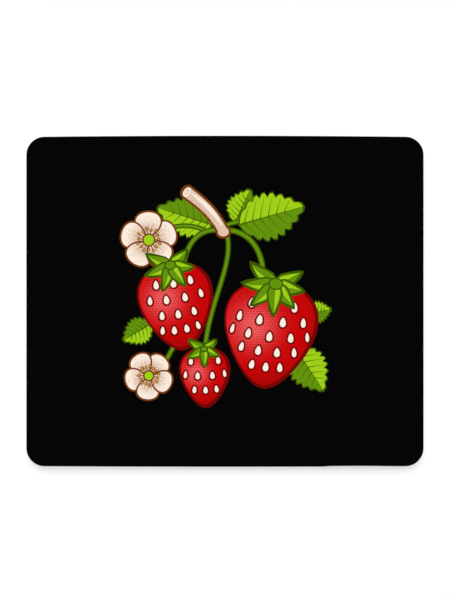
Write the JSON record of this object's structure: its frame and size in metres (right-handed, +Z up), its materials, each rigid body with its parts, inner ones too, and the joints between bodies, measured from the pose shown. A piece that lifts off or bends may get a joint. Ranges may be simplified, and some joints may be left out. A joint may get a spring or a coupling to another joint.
{
  "type": "mouse pad",
  "caption": "Flat rectangular mouse pad with rounded corners: a black printed cloth face bonded to a thin foam rubber base.",
  "frame": {"origin": "centre of the underside, on the surface that the pad lies on", "axes": "+Z up out of the cloth face, +Y towards the top of the printed picture, +X to its right"},
  "size_m": [0.24, 0.2, 0.005],
  "materials": {
    "printed_cloth": "matt knitted polyester, dyed black with a coloured print in the middle",
    "foam_rubber": "matt black foam rubber, fine pores on the cut edge, moulded grip on the underside"
  },
  "bodies": {
    "root": {"cloth_face": "printed_cloth", "foam_base": "foam_rubber"}
  },
  "joints": []
}
